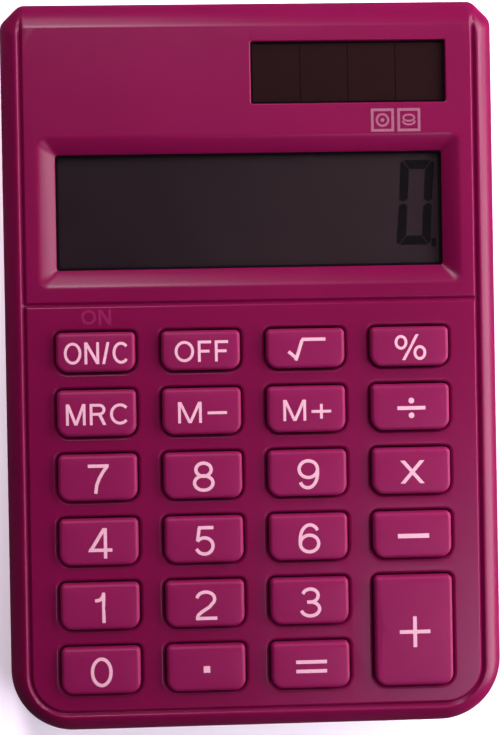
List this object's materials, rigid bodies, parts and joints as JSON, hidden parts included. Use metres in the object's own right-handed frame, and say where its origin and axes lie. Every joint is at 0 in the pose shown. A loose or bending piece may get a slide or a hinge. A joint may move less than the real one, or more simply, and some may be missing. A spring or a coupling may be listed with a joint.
{
  "type": "desk calculator",
  "caption": "Small desk calculator with a moulded case, a four-column keypad of sprung keys, a framed liquid crystal display and a solar cell.",
  "frame": {"origin": "on the table under the middle of the case, at the underside of the rubber feet", "axes": "+X to the right of the face, +Y up the face towards the display, +Z out of the face"},
  "size_m": [0.076, 0.1116, 0.015],
  "materials": {
    "case_plastic": "moulded plastic, satin gloss, fine grain, magenta",
    "key_plastic": "moulded plastic, soft matt, magenta a little lighter than the case",
    "window_plastic": "clear moulded window, glossy",
    "display_film": "dark grey-brown polarising film",
    "display_glass": "clear ground-edge glass",
    "foam": "black foam",
    "elastomer": "layered conductive elastomer",
    "solar_glass": "dark brown amorphous cell on glass",
    "wire_red": "red insulated wire",
    "wire_black": "black insulated wire",
    "board": "phenolic paper board",
    "potting": "black epoxy",
    "capacitor_sleeve": "blue sleeve",
    "resistor_body": "black ceramic chips",
    "cell_steel": "bright nickel-plated steel",
    "contact_metal": "nickel-plated spring sheet",
    "membrane_rubber": "grey silicone rubber",
    "carbon": "carbon-filled rubber",
    "screw_steel": "zinc-plated steel",
    "foot_rubber": "dark grey rubber"
  },
  "bodies": {
    "case": {"front_housing": "case_plastic", "rear_housing": "case_plastic", "display_window": "window_plastic", "display_front_polariser": "display_film", "display_front_glass": "display_glass", "display_rear_glass": "display_glass", "display_rear_polariser": "display_film", "display_foam_pad": "foam", "elastomer_connector": "elastomer", "solar_cell": "solar_glass", "solar_wire_positive": "wire_red", "solar_wire_negative": "wire_black", "circuit_board": "board", "chip_potting": "potting", "storage_capacitor": "capacitor_sleeve", "chip_resistors": "resistor_body", "button_cell": "cell_steel", "cell_strap": "contact_metal", "cell_pad": "contact_metal", "keypad_membrane": "membrane_rubber", "contact_pills": "carbon", "board_screws": "screw_steel", "case_screws": "screw_steel", "rubber_feet": "foot_rubber"},
    "key_on_clear": {"key_on_clear": "key_plastic"},
    "key_off": {"key_off": "key_plastic"},
    "key_root": {"key_root": "key_plastic"},
    "key_percent": {"key_percent": "key_plastic"},
    "key_memory_recall": {"key_memory_recall": "key_plastic"},
    "key_memory_minus": {"key_memory_minus": "key_plastic"},
    "key_memory_plus": {"key_memory_plus": "key_plastic"},
    "key_divide": {"key_divide": "key_plastic"},
    "key_7": {"key_7": "key_plastic"},
    "key_8": {"key_8": "key_plastic"},
    "key_9": {"key_9": "key_plastic"},
    "key_times": {"key_times": "key_plastic"},
    "key_4": {"key_4": "key_plastic"},
    "key_5": {"key_5": "key_plastic"},
    "key_6": {"key_6": "key_plastic"},
    "key_minus": {"key_minus": "key_plastic"},
    "key_1": {"key_1": "key_plastic"},
    "key_2": {"key_2": "key_plastic"},
    "key_3": {"key_3": "key_plastic"},
    "key_plus": {"key_plus": "key_plastic"},
    "key_0": {"key_0": "key_plastic"},
    "key_point": {"key_point": "key_plastic"},
    "key_equals": {"key_equals": "key_plastic"}
  },
  "joints": [
    {"name": "key_on_clear_press", "type": "slide", "parent": "case", "child": "key_on_clear", "axis": [0, 0, -1], "range_m": [0, 0.0009], "stiffness_N_per_m": 500, "springref_m": -0.0004, "deforming": ["keypad_membrane", "contact_pills"]},
    {"name": "key_off_press", "type": "slide", "parent": "case", "child": "key_off", "axis": [0, 0, -1], "range_m": [0, 0.0009], "stiffness_N_per_m": 500, "springref_m": -0.0004, "deforming": ["keypad_membrane", "contact_pills"]},
    {"name": "key_root_press", "type": "slide", "parent": "case", "child": "key_root", "axis": [0, 0, -1], "range_m": [0, 0.0009], "stiffness_N_per_m": 500, "springref_m": -0.0004, "deforming": ["keypad_membrane", "contact_pills"]},
    {"name": "key_percent_press", "type": "slide", "parent": "case", "child": "key_percent", "axis": [0, 0, -1], "range_m": [0, 0.0009], "stiffness_N_per_m": 500, "springref_m": -0.0004, "deforming": ["keypad_membrane", "contact_pills"]},
    {"name": "key_memory_recall_press", "type": "slide", "parent": "case", "child": "key_memory_recall", "axis": [0, 0, -1], "range_m": [0, 0.0009], "stiffness_N_per_m": 500, "springref_m": -0.0004, "deforming": ["keypad_membrane", "contact_pills"]},
    {"name": "key_memory_minus_press", "type": "slide", "parent": "case", "child": "key_memory_minus", "axis": [0, 0, -1], "range_m": [0, 0.0009], "stiffness_N_per_m": 500, "springref_m": -0.0004, "deforming": ["keypad_membrane", "contact_pills"]},
    {"name": "key_memory_plus_press", "type": "slide", "parent": "case", "child": "key_memory_plus", "axis": [0, 0, -1], "range_m": [0, 0.0009], "stiffness_N_per_m": 500, "springref_m": -0.0004, "deforming": ["keypad_membrane", "contact_pills"]},
    {"name": "key_divide_press", "type": "slide", "parent": "case", "child": "key_divide", "axis": [0, 0, -1], "range_m": [0, 0.0009], "stiffness_N_per_m": 500, "springref_m": -0.0004, "deforming": ["keypad_membrane", "contact_pills"]},
    {"name": "key_7_press", "type": "slide", "parent": "case", "child": "key_7", "axis": [0, 0, -1], "range_m": [0, 0.0009], "stiffness_N_per_m": 500, "springref_m": -0.0004, "deforming": ["keypad_membrane", "contact_pills"]},
    {"name": "key_8_press", "type": "slide", "parent": "case", "child": "key_8", "axis": [0, 0, -1], "range_m": [0, 0.0009], "stiffness_N_per_m": 500, "springref_m": -0.0004, "deforming": ["keypad_membrane", "contact_pills"]},
    {"name": "key_9_press", "type": "slide", "parent": "case", "child": "key_9", "axis": [0, 0, -1], "range_m": [0, 0.0009], "stiffness_N_per_m": 500, "springref_m": -0.0004, "deforming": ["keypad_membrane", "contact_pills"]},
    {"name": "key_times_press", "type": "slide", "parent": "case", "child": "key_times", "axis": [0, 0, -1], "range_m": [0, 0.0009], "stiffness_N_per_m": 500, "springref_m": -0.0004, "deforming": ["keypad_membrane", "contact_pills"]},
    {"name": "key_4_press", "type": "slide", "parent": "case", "child": "key_4", "axis": [0, 0, -1], "range_m": [0, 0.0009], "stiffness_N_per_m": 500, "springref_m": -0.0004, "deforming": ["keypad_membrane", "contact_pills"]},
    {"name": "key_5_press", "type": "slide", "parent": "case", "child": "key_5", "axis": [0, 0, -1], "range_m": [0, 0.0009], "stiffness_N_per_m": 500, "springref_m": -0.0004, "deforming": ["keypad_membrane", "contact_pills"]},
    {"name": "key_6_press", "type": "slide", "parent": "case", "child": "key_6", "axis": [0, 0, -1], "range_m": [0, 0.0009], "stiffness_N_per_m": 500, "springref_m": -0.0004, "deforming": ["keypad_membrane", "contact_pills"]},
    {"name": "key_minus_press", "type": "slide", "parent": "case", "child": "key_minus", "axis": [0, 0, -1], "range_m": [0, 0.0009], "stiffness_N_per_m": 500, "springref_m": -0.0004, "deforming": ["keypad_membrane", "contact_pills"]},
    {"name": "key_1_press", "type": "slide", "parent": "case", "child": "key_1", "axis": [0, 0, -1], "range_m": [0, 0.0009], "stiffness_N_per_m": 500, "springref_m": -0.0004, "deforming": ["keypad_membrane", "contact_pills"]},
    {"name": "key_2_press", "type": "slide", "parent": "case", "child": "key_2", "axis": [0, 0, -1], "range_m": [0, 0.0009], "stiffness_N_per_m": 500, "springref_m": -0.0004, "deforming": ["keypad_membrane", "contact_pills"]},
    {"name": "key_3_press", "type": "slide", "parent": "case", "child": "key_3", "axis": [0, 0, -1], "range_m": [0, 0.0009], "stiffness_N_per_m": 500, "springref_m": -0.0004, "deforming": ["keypad_membrane", "contact_pills"]},
    {"name": "key_plus_press", "type": "slide", "parent": "case", "child": "key_plus", "axis": [0, 0, -1], "range_m": [0, 0.0009], "stiffness_N_per_m": 500, "springref_m": -0.0004, "deforming": ["keypad_membrane", "contact_pills"]},
    {"name": "key_0_press", "type": "slide", "parent": "case", "child": "key_0", "axis": [0, 0, -1], "range_m": [0, 0.0009], "stiffness_N_per_m": 500, "springref_m": -0.0004, "deforming": ["keypad_membrane", "contact_pills"]},
    {"name": "key_point_press", "type": "slide", "parent": "case", "child": "key_point", "axis": [0, 0, -1], "range_m": [0, 0.0009], "stiffness_N_per_m": 500, "springref_m": -0.0004, "deforming": ["keypad_membrane", "contact_pills"]},
    {"name": "key_equals_press", "type": "slide", "parent": "case", "child": "key_equals", "axis": [0, 0, -1], "range_m": [0, 0.0009], "stiffness_N_per_m": 500, "springref_m": -0.0004, "deforming": ["keypad_membrane", "contact_pills"]}
  ]
}
